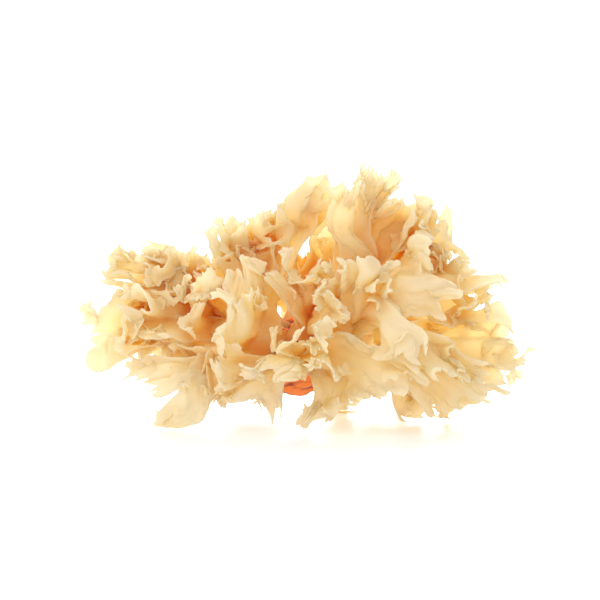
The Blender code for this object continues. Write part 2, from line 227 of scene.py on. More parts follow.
@dataclass
class Frond:
    """One frond of a lobe, from the lobe's fork to its tip, in millimetres and degrees."""

    name: str
    lobe: str
    tip: tuple
    width: float  # across the margin
    face: tuple  # the way its broad side looks
    bow: tuple = (0, 0, 0)  # how far its middle lies off the straight line from fork to tip
    fan: float = 60  # half angle that its margin spans
    cup: float = 25  # how far its sides bend towards the face
    waves: float = 2.0  # folds across it
    swing: float = 2.0  # height of the folds
    phase: float = 0.0  # where the folds start
    neck: float = 3  # half width at the fork
    flare: float = 0.8  # how late it widens
    grow: float = 1.2  # how much longer the margin is than the sheet can lay flat
    curl: float = 3.0  # how far the margin rolls to and fro
    twist: float = 0  # turn from fork to tip
    root: tuple = None  # where it starts, if not at the fork


FRONDS = (
    Frond("arm_back", "left_arm", (-54, 1, 32), 29, (0.2, -1, 0.1), bow=(0, 0, -1), fan=80, waves=1.8,
          swing=2.5, phase=0.3, grow=1.15),
    Frond("arm_top", "left_arm", (-50, 5, 46), 13, (0.4, -0.9, 0.4), bow=(3, 0, -1), fan=60, waves=1.6,
          swing=1.8, phase=2.0),
    Frond("arm_crest", "left_arm", (-30, 5, 41), 17, (0.1, -0.9, 0.5), fan=65, waves=1.8, swing=2.2,
          phase=5.0, grow=1.2),
    Frond("arm_front", "left_arm", (-44, -11, 33), 19, (0, -0.7, 0.7), bow=(0, 0, 4), fan=60, cup=-50,
          waves=2.4, swing=1.2, phase=1.0, neck=4, grow=0.8, curl=2),
    Frond("arm_under", "left_arm", (-47, -3, 22), 19, (0.1, -0.9, -0.4), fan=70, swing=2.2, phase=4.0,
          grow=1.2),
    Frond("arm_inner", "left_arm", (-30, -13, 34), 13, (0.3, -0.8, 0.6), bow=(0, -2, 2), waves=1.6,
          swing=1.8, phase=0.7, grow=1.15),
    Frond("arm_finger", "left_arm", (-39, 0, 42), 9, (-0.2, -0.9, 0.3), fan=50, waves=1.4, swing=1.5,
          phase=4.2, grow=1.15),
    Frond("tongue", "left_foot", (-40, -17, 1), 13, (-0.25, -1, 0.35), bow=(1, -3, 3), fan=25, cup=-20,
          waves=0.8, swing=0.8, phase=0.5, neck=6, flare=0.6, grow=0.45, curl=1, twist=15),
    Frond("tongue_back", "left_foot", (-37, -3, 13), 13, (0, -1, 0.1), bow=(0, 0, 2), waves=1.8,
          swing=1.6, phase=2.5, curl=2),
    Frond("frill_low", "left_foot", (-26, -11, 10), 10, (0.1, -1, -0.2), bow=(0, -2, 0), fan=70, waves=1.8,
          swing=1.5, phase=3.1, curl=2),
    Frond("tongue_side", "left_foot", (-47, -11, 8), 9, (-0.1, -1, 0.2), bow=(0, 0, 2), fan=50, cup=20,
          waves=1.2, swing=1.2, phase=1.5, grow=1.0, curl=1.5),
    Frond("frill_mid", "left_foot", (-19, -18, 8), 10, (0.1, -1, -0.2), bow=(0, -3, 0), waves=1.6,
          swing=1.4, phase=1.1, curl=1.5),
    Frond("hood_back", "hood", (-14, -17, 43), 17, (0.05, -1, 0.1), bow=(-2, -6, -1), fan=32, cup=-25,
          waves=0.9, swing=1.0, phase=0.6, neck=5, grow=0.6, curl=1.5),
    Frond("hood_front", "hood", (-19, -25, 33), 20, (-0.2, -0.9, 0.3), bow=(-1, -8, 1), fan=62, cup=-40,
          waves=1.0, swing=1.2, phase=1.9, neck=4, grow=0.6, curl=1.8, twist=-20),
    Frond("frill_s", "front_frills", (6, -31, 26), 9, (0.2, -0.6, 0.7), bow=(1, 0, 0), cup=30, waves=1.6,
          swing=1.4, phase=0.9, grow=0.9, curl=1.5),
    Frond("frill_fan", "front_frills", (7, -34, 17), 12, (0.15, -0.5, 0.85), bow=(0, 0, 3), fan=70,
          cup=-50, waves=1.4, swing=1.0, phase=2.2, grow=0.8, curl=1.2),
    Frond("frill_leaf", "front_frills", (-11, -32, 15), 12, (0, -0.8, 0.6), bow=(2, -2, 3), fan=55,
          cup=-40, waves=1.2, swing=1.0, phase=4.4, grow=0.7, curl=1.2, twist=25),
    Frond("frill_strip", "front_frills", (-5, -28, 25), 6, (0.3, -0.9, 0.1), bow=(-1, -4, -2), fan=40,
          cup=40, waves=1.0, swing=1.2, phase=5.0, grow=0.8, curl=1.5),
    Frond("hood_low", "front_foot", (-21, -23, 18), 13, (-0.1, -1, -0.1), bow=(0, -3, 1), fan=50, cup=20,
          waves=0.8, swing=0.8, phase=3.9, grow=0.4, curl=1.2),
    Frond("foot_main", "front_foot", (-8, -24, -2), 7, (0, -1, 0.1), bow=(0, -2, 2), fan=35, cup=40,
          waves=1.0, swing=0.6, phase=0.4, neck=4.5, flare=0.6, grow=0.4, curl=0.8),
    Frond("foot_left", "front_foot", (-15, -21, 6), 9, (-0.3, -1, 0.1), bow=(0, -3, 2), fan=50, cup=-30,
          waves=1.1, swing=0.8, phase=2.4, grow=0.5, curl=1),
    Frond("foot_right", "front_right", (7, -26, 3), 12, (0.1, -1, 0.1), bow=(2, -3, 1), fan=50, waves=1.3,
          swing=1.0, phase=1.2, grow=0.5, curl=1),
    Frond("apron", "front_right", (22, -28, 8), 24, (0.1, -1, -0.2), bow=(3, -3, 8), fan=30, cup=25,
          waves=1.0, swing=1.0, phase=3.0, neck=5, flare=0.6, grow=0.45, curl=1.2),
    Frond("hood_edge", "centre", (-7, -18, 42), 9, (0.85, -0.5, 0), bow=(0, -5, 0), fan=35, cup=15,
          waves=0.8, swing=1.0, phase=0.2, grow=0.5, curl=1),
    Frond("centre_frill", "centre", (0, -17, 41), 11, (0.2, -1, 0.1), bow=(0, -3, 0), fan=55, cup=20,
          waves=1.8, swing=1.8, phase=2.1, grow=1.3, curl=2),
    Frond("centre_sheet", "centre", (9, -27, 33), 14, (0.1, -0.9, 0.4), bow=(0, -4, 1), cup=-25,
          waves=1.6, swing=1.4, phase=4.3, grow=0.8, curl=2),
    Frond("centre_inner", "centre", (5, -14, 37), 10, (-0.4, -0.9, 0.1), bow=(0, -2, 0), fan=45, cup=20,
          waves=1.4, swing=1.2, phase=0.6, grow=1.0, curl=1.5),
    Frond("crest_left", "top_left", (-24, -4, 47), 15, (0.1, -1, 0.2), bow=(0, 0, 2), fan=70, waves=1.8,
          phase=1.2, grow=1.2),
    Frond("crest_mid", "top_left", (-16, 0, 54), 14, (-0.2, -1, 0.1), waves=1.8, phase=3.2, grow=1.15),
    Frond("crest_high", "top_left", (-8, 3, 59), 14, (-0.3, -1, 0.2), bow=(0, 0, 2), waves=1.6, swing=1.8,
          phase=5.2),
    Frond("crest_peak", "top_left", (4, 4, 63), 13, (-0.1, -1, 0.1), bow=(-3, 0, 0), fan=45, waves=1.8,
          swing=1.4, phase=0.4, grow=0.9),
    Frond("tongue_top", "top", (11, -7, 62), 12, (0.1, -1, 0), bow=(1, -2, 0), fan=25, cup=-20, waves=0.8,
          swing=0.8, phase=0.2, neck=4, flare=0.6, grow=0.5, curl=1.2, twist=20),
    Frond("peak", "top", (21, -1, 68), 9, (-0.1, -1, 0.1), fan=40, waves=1.0, swing=1.2, phase=1.7,
          grow=0.9, curl=2),
    Frond("top_back", "top", (17, 8, 61), 16, (0, -1, 0.2), bow=(0, 2, 0), fan=65, waves=1.8, phase=2.7),
    Frond("top_right", "top", (29, 3, 59), 18, (-0.2, -1, 0.2), bow=(-2, 0, 2), fan=70, waves=1.8,
          phase=3.9),
    Frond("shoulder", "upper_right", (36, 2, 52), 18, (-0.3, -0.9, 0.4), bow=(-2, 0, 3), fan=75,
          waves=1.8, phase=0.9, grow=1.2),
    Frond("ledge", "upper_right", (34, -12, 47), 19, (-0.4, -0.4, 0.8), bow=(0, 0, 2), cup=-15, waves=1.1,
          swing=1.0, phase=2.2, grow=0.6, curl=1.5, twist=-20),
    Frond("shoulder_low", "upper_right", (42, 3, 43), 19, (-0.2, -0.9, 0.4), bow=(0, 0, 2), fan=75,
          swing=2.2, phase=4.9, grow=1.2),
    Frond("side_frill", "upper_right", (48, -8, 31), 18, (-0.1, -0.8, 0.6), bow=(0, -2, 3), fan=70,
          phase=3.6, grow=1.2),
    Frond("roll", "right_front", (39, -15, 37), 18, (0, -0.7, 0.7), bow=(-1, -5, 9), fan=50, cup=-75,
          waves=0.8, swing=0.8, phase=0.4, neck=5, grow=0.5, curl=1.5),
    Frond("frill_row", "right_front", (17, -19, 45), 16, (0, -1, 0.2), bow=(0, -4, 0), cup=20, swing=1.6,
          phase=1.4, grow=1.1),
    Frond("drape", "right_front", (27, -31, 17), 10, (-0.3, -1, 0.1), bow=(7, -7, 16), fan=30, cup=-30,
          waves=1.2, swing=1.0, phase=2.4, grow=0.6, curl=1.2),
    Frond("sweep", "right_low", (44, -20, 8), 20, (0.1, -1, -0.1), bow=(-1, -4, 6), fan=35, cup=20,
          waves=1.2, swing=1.2, phase=0.8, neck=6, grow=0.5, curl=1.5),
    Frond("fan_right", "right_low", (56, -8, 18), 26, (0.1, -0.9, 0.4), bow=(0, -2, 1), fan=75, waves=2.6,
          phase=2.0, grow=1.1),
    Frond("foot_back", "right_low", (33, 0, -3), 9, (0.1, -1, 0.1), bow=(2, 0, 2), fan=50, waves=1.6,
          swing=1.2, phase=4.1, curl=1),
    Frond("crumple", "right_low", (38, -28, 17), 13, (0, -0.6, 0.8), bow=(0, -2, 3), fan=50, cup=-40,
          waves=1.5, swing=1.4, phase=5.1, grow=0.8, curl=1.8, twist=20),
    Frond("fan_under", "right_low", (51, 0, 10), 17, (0.1, -0.9, -0.2), fan=70, swing=1.6, phase=0.9,
          grow=1.15),
    Frond("rear_left", "back_left", (-35, 20, 30), 28, (0.5, -0.6, 0.3), bow=(0, 2, 0), fan=75, swing=2.4,
          phase=0.6, grow=1.15),
    Frond("rear_left_low", "back_left", (-26, 23, 13), 20, (0.3, -0.7, -0.4), bow=(0, 2, 0), fan=70,
          swing=2.2, phase=2.6, grow=1.15),
    Frond("rear_left_high", "back_left", (-21, 18, 42), 22, (0.3, -0.8, 0.4), bow=(0, 2, 0), fan=70,
          swing=2.2, phase=4.6, grow=1.15),
    Frond("rear_mid", "back_left", (-13, 32, 26), 24, (0.3, -0.7, 0.5), bow=(0, 2, 1), fan=75, swing=2.4,
          phase=3.9, grow=1.15),
    Frond("rear_mid_low", "back_left", (-9, 27, 9), 18, (0.1, -0.8, -0.3), bow=(0, 3, 1), fan=65,
          phase=1.4, grow=1.15),
    Frond("rear", "back_right", (7, 34, 30), 28, (0.1, -0.5, 0.8), bow=(0, 2, 2), fan=75, swing=2.4,
          phase=1.6, grow=1.15),
    Frond("rear_foot", "back_right", (7, 26, -3), 14, (0, -1, -0.3), bow=(0, 4, 2), waves=1.8, swing=1.8,
          phase=3.6),
    Frond("rear_right", "back_right", (37, 22, 31), 26, (-0.5, -0.6, 0.5), bow=(0, 2, 2), fan=75,
          swing=2.4, phase=5.6, grow=1.15),
    Frond("rear_right_low", "back_right", (37, 21, 14), 20, (-0.3, -0.8, -0.3), bow=(0, 2, 0), fan=70,
          swing=2.2, phase=0.1, grow=1.15),
    Frond("rear_high", "back_top", (17, 20, 50), 24, (0, -0.7, 0.7), bow=(0, 4, 0), fan=70, swing=2.4,
          phase=1.1, grow=1.15),
    Frond("rear_high_left", "back_top", (-10, 24, 44), 20, (0.1, -0.6, 0.8), bow=(0, 4, 0), fan=70,
          swing=2.2, phase=3.1, grow=1.15),
)

# Frills that close the crest between its fronds and fill out the peak
CREST_FRILLS = (
    Frond("crest_bridge_frill", "top_left", (8, 3, 63), 11, (0.1, -1, 0.1), fan=60, waves=1.6, swing=1.2,
          phase=1.1, neck=2, grow=1.1, curl=2, root=(1, 4, 51)),
    Frond("crest_gap_frill", "top_left", (4, 7, 58), 12, (0.3, -0.9, 0.1), fan=60, waves=1.8, swing=1.2,
          phase=3.1, neck=2, grow=1.1, curl=2, root=(-1, 5, 48)),
    Frond("peak_left_frill", "top", (17, -3, 66), 9, (-0.2, -1, 0.2), fan=60, waves=1.4, swing=1.0,
          phase=2.1, neck=2, grow=1.1, curl=1.5, root=(19, -2, 57)),
    Frond("peak_right_frill", "top", (26, 0, 66), 9, (0.2, -1, 0.2), fan=60, waves=1.4, swing=1.0,
          phase=4.4, neck=2, grow=1.1, curl=1.5, root=(21, -1, 58)),
)


def unit(rows):
    """The vectors in rows, each one unit long."""
    return rows / np.maximum(np.linalg.norm(rows, axis=-1, keepdims=True), 1e-9)


def root_of(frond):
    """Where a frond starts: its own root, or a little behind its lobe's fork."""
    if frond.root is not None:
        return np.array(frond.root)
    fork = np.array(FORKS[frond.lobe], float)
    return fork - unit(np.array(frond.tip) - fork) * ROOT_DEPTH


def sheet_points(frond, across, along):
    """Points of a frond's middle surface, for places across it from -1 to 1 and along it from 0 to 1."""
    root, tip = root_of(frond), np.array(frond.tip, float)
    middle = (root + tip) / 2 + np.array(frond.bow)
    t, u = along[:, None], across[None, :]

    spine = (1 - t) ** 2 * root + 2 * t * (1 - t) * middle + t**2 * tip
    ahead = unit((1 - t) * (middle - root) + t * (tip - middle))
    face = np.array(frond.face, float)
    out = unit(face - (ahead @ face)[:, None] * ahead)
    side = np.cross(ahead, out)
    turn = np.radians(frond.twist) * (t - 0.5)
    side, out = side * np.cos(turn) + out * np.sin(turn), out * np.cos(turn) - side * np.sin(turn)

    half = frond.neck + (frond.width / 2 - frond.neck) * np.sin(np.pi / 2 * t) ** frond.flare
    spread = np.radians(frond.fan) * (FAN_AT_ROOT + (1 - FAN_AT_ROOT) * t)
    lateral = half * np.sin(u * spread) / np.sin(spread)
    back = half * (1 - np.cos(u * spread)) / np.sin(spread)
    bend = half / (np.radians(frond.cup) * (CUP_AT_ROOT + (1 - CUP_AT_ROOT) * t))
    shift, lift = bend * np.sin(lateral / bend), bend * (1 - np.cos(lateral / bend))

    fold = np.pi * frond.waves * u + frond.phase + FOLD_WANDER * np.sin(FOLD_TURN * t + frond.phase)
    height = frond.swing * t**FOLD_RISE
    late = np.clip(t - ROLL_START, 0, None) / (1 - ROLL_START)
    roll = np.sin(np.pi * u * frond.width / ROLL_WAVE + ROLL_PHASE * frond.phase) * frond.curl * late**2
    lift = lift + height * np.sin(fold) + roll
    shift = shift - FOLD_LEAN * height * np.sin(2 * fold)
    back = back + ROLL_BACK * np.abs(roll)
    return (spine[:, None] + shift[..., None] * side[:, None] + lift[..., None] * out[:, None]
            - back[..., None] * ahead[:, None])


def pull(a, b, rest, strength):
    """Moves paired points towards their rest distance."""
    line = b - a
    length = np.sqrt((line * line).sum(-1)) + 1e-9
    move = line * (strength * 0.5 * (length - rest) / length)[..., None]
    a += move
    b -= move


def push(a, b, rest, strength):
    """Moves paired points apart where they are closer than their rest distance."""
    line = b - a
    length = np.sqrt((line * line).sum(-1)) + 1e-9
    move = line * (strength * 0.5 * np.minimum(length - rest, 0) / length)[..., None]
    a += move
    b -= move


def pull_in_pairs(points, rest, axis):
    """Restores the edges along one axis of the grids, first the even ones and then the odd ones."""
    swapped = np.swapaxes(points, axis, 0)
    lengths = np.swapaxes(rest, axis, 0)
    for start in (0, 1):
        a, b = swapped[start:-1:2], swapped[start + 1::2]
        count = min(len(a), len(b))
        pull(a[:count], b[:count], lengths[start::2][:count], 1.0)


def stiffen(points, rest, axis, stride, slack, strength):
    """Holds points that are a few edges apart from folding onto each other."""
    swapped = np.swapaxes(points, axis, 0)
    lengths = np.swapaxes(rest, axis, 0)
    total = np.cumsum(np.concatenate([np.zeros_like(lengths[:1]), lengths]), axis=0)
    for start in range(2 * stride):
        near = np.arange(start, len(swapped) - stride, 2 * stride)
        if len(near):
            a, b = swapped[near], swapped[near + stride]
            push(a, b, (total[near + stride] - total[near]) * slack, strength)
            swapped[near], swapped[near + stride] = a, b


def relax(points, growth_across, growth_along, steps, hold):
    """Grows the grids' edges by the given factors and lets the sheets buckle until their lengths fit."""
    start = points.copy()
    across = np.linalg.norm(np.diff(points, axis=2), axis=-1)
    along = np.linalg.norm(np.diff(points, axis=1), axis=-1)
    for step in range(steps):
        share = min(1.0, (step + 1) / (GROWING_SHARE * steps))
        wider = 1 + (growth_across - 1) * share
        longer = 1 + (growth_along - 1) * share
        rest_across = across * (wider[:, :, 1:] + wider[:, :, :-1]) / 2
        rest_along = along * (longer[:, 1:] + longer[:, :-1]) / 2
        pull_in_pairs(points, rest_across, 2)
        pull_in_pairs(points, rest_along, 1)
        for odd in (0, 1):
            low, high = points[:, odd:-1:2], points[:, odd + 1::2]
            rows = min(low.shape[1], high.shape[1])
            low, high = low[:, :rows], high[:, :rows]
            rest = np.hypot(rest_across[:, odd:-1:2][:, :rows], rest_along[:, odd::2][:, :rows, :-1])
            pull(low[:, :, :-1], high[:, :, 1:], rest, DIAGONAL_STRENGTH)
            pull(low[:, :, 1:], high[:, :, :-1], rest, DIAGONAL_STRENGTH)
        for stride in (2, 4):
            stiffen(points, rest_across, 2, stride, SLACK_ACROSS, STIFFNESS)
            stiffen(points, rest_along, 1, stride, SLACK_ALONG, STIFFNESS)
        points += hold * (start - points)
    return points


def softened(grids):
    """The grids with their tightest creases opened."""
    for _ in range(2):
        for axis in (1, 2):
            line = np.swapaxes(grids, axis, 0)
            line[1:-1] = (line[:-2] + 2 * line[1:-1] + line[2:]) / 4
    return grids


def row_places(rows):
    """Places along a frond for a grid's rows, which get closer towards the margin."""
    return 1 - (1 - np.linspace(0, 1, rows)) ** MARGIN_CROWDING


def grown(fronds, grid, steps, rng):
    """The relaxed grids of some fronds: an array of frond, row, column and coordinate."""
    rows, columns = grid
    u, v = np.linspace(-1, 1, columns), row_places(rows)
    points = np.stack([sheet_points(f, u, v) for f in fronds])
    faces = unit(np.cross(np.gradient(points, axis=2), np.gradient(points, axis=1)))
    across, along = u[None, None, :], v[None, :, None]
    width = np.array([f.width for f in fronds])[:, None, None]
    grow = np.array([f.grow for f in fronds])[:, None, None]

    def draw(low, high):
        return rng.uniform(low, high, (len(fronds), 1, 1))

    # Wide fronds ruffle more than narrow ones
    grow = (0.3 + 0.8 * grow) * np.clip(width / 18, 0.6, 1)
    calm = np.clip(grow / 1.2, 0.5, 1)

    def waves(number, lengths, unit_length, steepness, wander, rate):
        """Waves across the fronds, which start the ruffles, with crests that wander along the fronds."""
        total = np.zeros(points.shape[:3])
        for _ in range(number):
            wave = draw(*lengths) * unit_length
            phase = draw(0, 2 * np.pi)
            crest = np.pi * width / wave * across + phase + wander * np.sin(rate * along + phase)
            total += steepness * calm * wave * np.sin(crest)
        return total

    def patches(depth, wide, narrow):
        """How unevenly the fronds grow across their width, around 1."""
        return 1 + depth * np.sin(wide * across + draw(0, 6)) * np.sin(narrow * across + draw(0, 6))

    folds = waves(8, (0.22, 0.6), np.minimum(width, 24), 0.03, 2.5, 2)
    crinkles = waves(6, (1.8, 4.5), 1, 0.06, 4, 3)
    points += (folds * along**1.5 + crinkles * along**6)[..., None] * faces
    sheet_growth = SHEET_GROWTH * along**2.4 * patches(0.6, 5, 2.3)
    growth_across = 1 + grow * (sheet_growth + MARGIN_GROWTH * along**9 * patches(0.7, 9, 4.3))
    growth_along = 1 + LENGTH_GROWTH * grow * along**2
    hold = ROOT_HOLD * (1 - along) ** 2 + MARGIN_HOLD
    shape = points.shape[:3]
    return softened(relax(points, np.broadcast_to(growth_across, shape), np.broadcast_to(growth_along, shape),
                          steps, np.broadcast_to(hold, shape)[..., None]))


def at(grid, v, u):
    """Points of a relaxed grid at places along and across, smoothly between its own points."""
    rows, columns = grid.shape[:2]

    def taps(place, count):
        first = np.clip(np.floor(place).astype(int), 0, count - 2)
        t = place - first
        weights = (-0.5 * t + t**2 - 0.5 * t**3, 1 - 2.5 * t**2 + 1.5 * t**3,
                   0.5 * t + 2 * t**2 - 1.5 * t**3, -0.5 * t**2 + 0.5 * t**3)
        return [np.clip(first + k, 0, count - 1) for k in (-1, 0, 1, 2)], weights

    row_taps, row_weights = taps((1 - (1 - v) ** (1 / MARGIN_CROWDING)) * (rows - 1), rows)
    column_taps, column_weights = taps((u + 1) / 2 * (columns - 1), columns)
    total = 0
    for row, row_weight in zip(row_taps, row_weights):
        for column, column_weight in zip(column_taps, column_weights):
            total = total + grid[row, column] * (row_weight * column_weight)[..., None]
    return total


def ripple(places, seed):
    """Smooth noise of about -1 to 1, for places in wavelengths."""
    rng = np.random.default_rng(seed)
    total = 0
    for _ in range(5):
        total = total + np.sin(2 * np.pi * places * rng.uniform(0.6, 1.6) + rng.uniform(0, 2 * np.pi))
    return total / 2.7


def bands(frond):
    """Columns and places along a frond, from coarse at its root to fine at its margin."""
    fineness = FRILL_FINENESS if frond.name.endswith(FRILL_NAME) else FINENESS
    fine = 4 * max(4, round(frond.width * fineness / 4))
    return ((fine // 4, (0, 0.06, 0.13, 0.2, 0.28, 0.36, 0.44)), (fine // 2, (0.52, 0.59, 0.66, 0.72, 0.78)),
            (fine, (0.83, 0.87, 0.905, 0.935, 0.96, 0.98, 1.0)))


def net(frond):
    """A frond's mesh plan: the places of its points, its triangles, and which points are on the boundary."""
    across, along, rows, triangles = [], [], [], []
    start = 0
    for columns, places in bands(frond):
        for place in places:
            across.append(np.linspace(-1, 1, columns + 1))
            along.append(np.full(columns + 1, place))
            rows.append((start, columns))
            start += columns + 1
    for (low, columns), (high, next_columns) in zip(rows, rows[1:]):
        i = np.arange(columns)
        if columns == next_columns:
            quads = np.stack([low + i, low + i + 1, high + i + 1, high + i], -1)
            even = (i % 2 == 0)[:, None]
            triangles.append(np.where(even, quads[:, [0, 1, 2]], quads[:, [0, 1, 3]]))
            triangles.append(np.where(even, quads[:, [0, 2, 3]], quads[:, [1, 2, 3]]))
        else:
            middle = high + 2 * i + 1
            triangles.append(np.stack([low + i, middle, middle - 1], -1))
            triangles.append(np.stack([low + i, low + i + 1, middle], -1))
            triangles.append(np.stack([low + i + 1, middle + 1, middle], -1))
    boundary = np.zeros(start, bool)
    boundary[:rows[0][1] + 1] = True
    boundary[rows[-1][0]:] = True
    for first, columns in rows:
        boundary[[first, first + columns]] = True
    return np.concatenate(across), np.concatenate(along), np.concatenate(triangles), boundary


def scallops(places, seed):
    """Depth of the notches between round lobes, from 0 to 1, for places in lobes."""
    wander = places + 0.6 * ripple(places / 2.7, seed)
    return 1 - np.abs(np.sin(np.pi * wander)) ** 0.6


def frond_length(frond):
    """The straight distance from a frond's root to its tip."""
    return np.linalg.norm(np.array(frond.tip) - root_of(frond))


def cut_outline(frond, across, along, seed):
    """Where a frond's points go once its margin and flanks are cut into lobes, teeth and tears."""
    width, length = frond.width * (1 + 0.5 * frond.grow), frond_length(frond)
    rough = min(max(frond.grow, 0.5), 1.3)
    x, y = across * width / 2, along * length

    def round_cuts(sizes, places, seed):
        return sizes[1] * scallops(places / sizes[0], seed)

    def sharp_cuts(sizes, places, seed):
        return sizes[1] * np.abs(ripple(places / sizes[0], seed))

    def patches(patch, seed):
        return 0.6 + 0.4 * ripple(x / patch, seed)

    lobes = round_cuts(LOBES, x, seed + 1) * patches(11, seed + 4)
    teeth = sharp_cuts(TEETH, x, seed + 2) * patches(6, seed + 3) + sharp_cuts(FINE_TEETH, x, seed + 5)
    rng = np.random.default_rng(seed)
    tears = rng.uniform(-0.08, 0.08) * across
    for _ in range(round(width / TEAR_SPACING)):
        depth, place = rng.uniform(*TEAR_DEPTHS), rng.uniform(-0.5, 0.5) * width
        tears = tears + depth * np.exp(-(((x - place) / rng.uniform(*TEAR_WIDTHS)) ** 2))
    top = np.clip(0.03 + tears + 0.05 * ripple(x / 14, seed) + rough * (lobes + teeth) / length, 0, 0.4)
    if frond.tip[2] < 0:  # a foot, which is pointed
        top = 0.3 * top + 0.12 + 0.4 * np.abs(across)

    def flank(seed):
        cuts = round_cuts(FLANK_LOBES, y, seed + 1) + sharp_cuts(FLANK_TEETH, y, seed + 2)
        return np.clip(0.05 + 0.05 * ripple(y / 12, seed) + rough * cuts / max(width / 2, 8), 0, 0.32)

    sides = np.where(across < 0, flank(seed + 10), flank(seed + 20)) * np.clip(2.5 * along, 0, 1)
    corner = 1 - 0.12 * (across * along) ** 4
    return (across * (1 - sides * np.abs(across) ** 1.5 * (1 - along**4)) * corner,
            along * (1 - top * along**1.5 * (1 - 0.9 * across**4)) * corner)


def face_normals(points, triangles):
    """The normals of a mesh's triangles, each as long as twice the triangle's area."""
    corners = points[triangles]
    return np.cross(corners[:, 1] - corners[:, 0], corners[:, 2] - corners[:, 0])


def point_normals(points, triangles):
    """The mean normal at each point of a mesh."""
    flat = face_normals(points, triangles)
    total = np.zeros_like(points)
    for k in range(3):
        for axis in range(3):
            total[:, axis] += np.bincount(triangles[:, k], flat[:, axis], len(points))
    return unit(total)


def least_edges(points, triangles):
    """The shortest edge at each point of a mesh."""
    least = np.full(len(points), 10.0)
    for k in range(3):
        a, b = triangles[:, k], triangles[:, (k + 1) % 3]
        length = np.linalg.norm(points[a] - points[b], axis=-1)
        np.minimum.at(least, a, length)
        np.minimum.at(least, b, length)
    return least


def frond_mesh(frond, grid, seed):
    """A frond's closed mesh: its points, its triangles, and how far across and along it each point lies."""
    across, along, triangles, boundary = net(frond)
    u, v = cut_outline(frond, across, along, seed)
    middle = at(grid, v, u)
    x, y = across * frond.width / 2, along * frond_length(frond)
    sway = ripple(y / 11, seed + 5)
    wrinkle = sum(height * ripple(x / length + wander * sway, seed + 6 + k)
                  for k, (length, height, wander) in enumerate(WRINKLES))
    middle = middle + point_normals(middle, triangles) * (wrinkle * (1 - along**4))[:, None]
    normals = point_normals(middle, triangles)

    edge = np.maximum(along, np.abs(across))
    bead = BEAD * np.exp(-(((edge - BEAD_PLACE) / BEAD_WIDTH) ** 2))
    thick = RIM_SHEET + (ROOT_SHEET - RIM_SHEET) * (1 - along) ** 2 + bead
    half = np.maximum(np.minimum(thick / 2, 0.9 * least_edges(middle, triangles)), LEAST_SHEET / 2)
    half[boundary] = 0
    inner = np.flatnonzero(~boundary)
    twin = np.arange(len(middle))
    twin[inner] = len(middle) + np.arange(len(inner))
    offset = normals * half[:, None]
    points = np.concatenate([middle + offset, middle[inner] - offset[inner]])
    faces = np.concatenate([triangles, twin[triangles][:, ::-1]])
    return points, faces, np.concatenate([across, across[inner]]), np.concatenate([along, along[inner]])


def sprouts(fronds, grids, rng):
    """Small frills that grow from the fronds' faces, mostly near their margins."""
    frills = []
    for frond, grid in zip(fronds, grids):
        for _ in range(round(frond.width / FRILL_SPACING * frond.grow**1.5)):
            u, v = rng.uniform(-0.85, 0.85), rng.uniform(0.4, 0.95) ** 0.8
            place = np.array([[v, u], [v + 0.04, u], [v, u + 0.05]])
            here, ahead, beside = at(grid, place[:, 0], place[:, 1])
            out, side = unit(ahead - here), unit(beside - here)
            normal = unit(np.cross(side, out)) * rng.choice([-1, 1])
            tilt = np.radians(rng.uniform(*FRILL_TILTS))
            sway = rng.uniform(-0.6, 0.6) + 0.9 * u
            aim = unit(out * np.cos(tilt) + normal * np.sin(tilt) + side * sway)
            look = unit(normal * np.cos(tilt) - out * np.sin(tilt) + side * rng.uniform(-0.7, 0.7))
            length, width = rng.uniform(*FRILL_LENGTHS), rng.uniform(*FRILL_WIDTHS)
            start = here - aim
            frills.append(Frond(frond.name + FRILL_NAME, frond.lobe, tuple(start + aim * length), width,
                                tuple(look), fan=rng.uniform(50, 85), cup=rng.uniform(-40, 40),
                                waves=rng.uniform(1, 2), swing=rng.uniform(0.5, 1.2),
                                phase=rng.uniform(0, 6.3), neck=0.8, flare=0.7, grow=rng.uniform(0.7, 1.2),
                                curl=rng.uniform(0.5, 1.5), root=tuple(start)))
    return frills


def joined(parts):
    """One mesh of several: points, triangles and the values that each point carries."""
    points, faces, values = [], [], []
    start = 0
    for these, triangles, carried in parts:
        points.append(these)
        faces.append(triangles + start)
        values.append(carried)
        start += len(these)
    return np.concatenate(points), np.concatenate(faces), np.concatenate(values)


def sheet_area(points, faces):
    """The share of a mesh's area that each of its points holds, in square millimetres."""
    area = np.linalg.norm(face_normals(points, faces), axis=-1) / 2
    return sum(np.bincount(faces[:, k], area / 3, len(points)) for k in range(3))


def openness_map(meshes):
    """How open each cell of the head is, from 0 among the sheets to 1 in the air, and the grid's corner."""
    points = np.concatenate([points for points, _ in meshes])
    area = np.concatenate([sheet_area(points, faces) for points, faces in meshes])
    corner = points.min(axis=0) - 3 * CELL
    shape = np.ceil((points.max(axis=0) + 3 * CELL - corner) / CELL).astype(int)
    cells = ((points - corner) / CELL).astype(int)
    crowd = np.bincount(np.ravel_multi_index(cells.T, shape), area, shape.prod()).reshape(shape) / CELL**2
    padded = np.pad(crowd, OPEN_REACH)
    golden = np.pi * (3 - np.sqrt(5))
    total = np.zeros(shape)
    for way in range(OPEN_WAYS):
        rise = 1 - (2 * way + 1) / OPEN_WAYS
        level = np.sqrt(1 - rise * rise)
        aim = np.array((level * np.cos(golden * way), level * np.sin(golden * way), rise))
        passed = np.zeros(shape)
        for step in range(1, OPEN_REACH):
            x, y, z = OPEN_REACH + np.round(aim * step).astype(int)
            passed += padded[x:x + shape[0], y:y + shape[1], z:z + shape[2]]
        total += np.exp(-SHUT_RATE * passed)
    return total / OPEN_WAYS, corner


